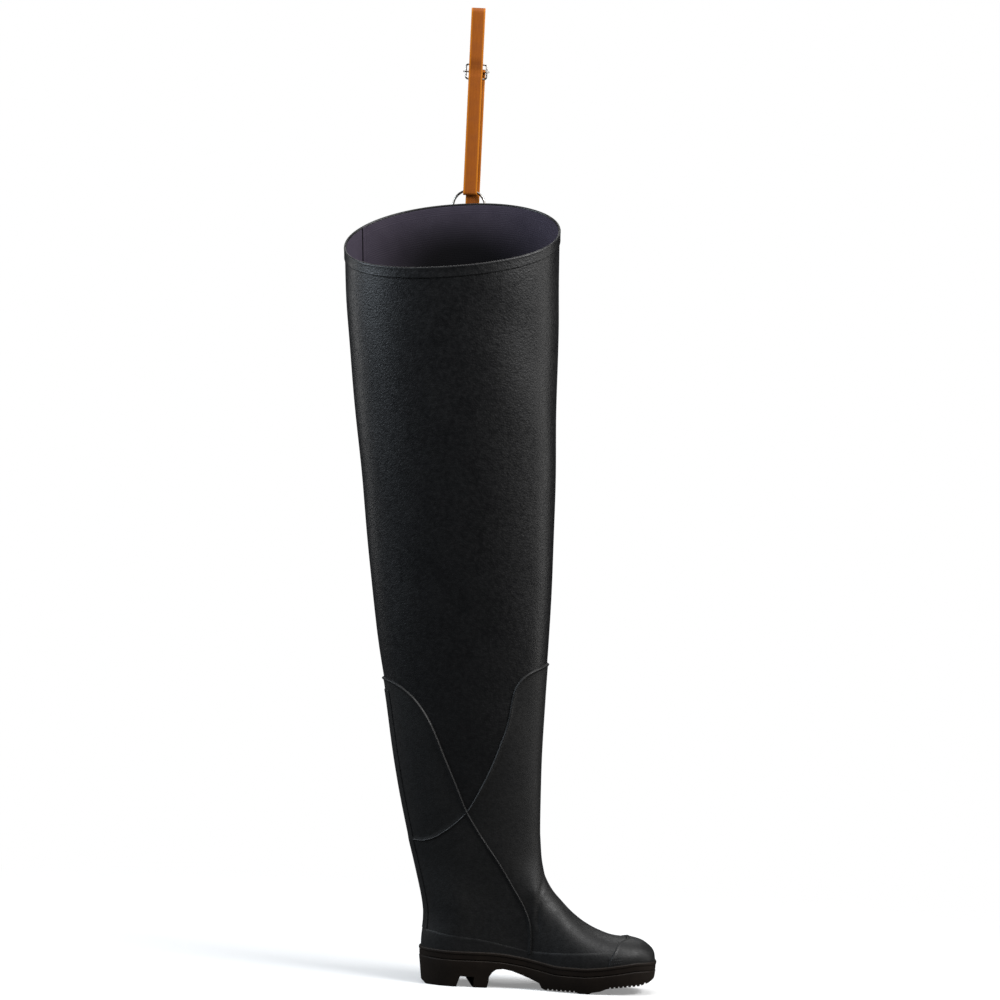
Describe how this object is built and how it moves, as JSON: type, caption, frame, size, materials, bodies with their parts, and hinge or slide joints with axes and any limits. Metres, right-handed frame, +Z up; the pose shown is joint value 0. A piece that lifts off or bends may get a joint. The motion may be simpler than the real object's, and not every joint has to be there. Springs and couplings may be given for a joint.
{
  "type": "hip wader",
  "caption": "Rubber hip wader for the left leg: booted foot with cleated sole, thigh-high shaft with slanted rim, and a belt strap on a ring at its outer side.",
  "frame": {"origin": "on the floor, under the middle of the flat rear lug of the heel", "axes": "+X to the toe, +Y to the outer side of the leg, +Z up the shaft"},
  "size_m": [0.4155, 0.1723, 1.174],
  "materials": {
    "shaft_rubber": "fine-grained, satin",
    "foot_rubber": "smooth, satin",
    "sole_rubber": "moulded, matt",
    "footbed": "matt cloth",
    "strap_rubber": "tan gum, satin",
    "steel": "nickelled wire"
  },
  "bodies": {
    "root": {"outsole": "sole_rubber", "insole": "footbed", "upper": "shaft_rubber", "foxing_band": "foot_rubber", "toe_cap": "foot_rubber", "back_panel": "foot_rubber", "front_panel": "foot_rubber", "back_stay": "foot_rubber", "rim_band": "shaft_rubber", "ring_keeper": "strap_rubber", "ring": "steel", "anchor_strap": "strap_rubber", "belt_strap": "strap_rubber", "buckle_frame": "steel", "buckle_bar": "steel", "rivet_1": "steel", "rivet_2": "steel"}
  },
  "joints": []
}
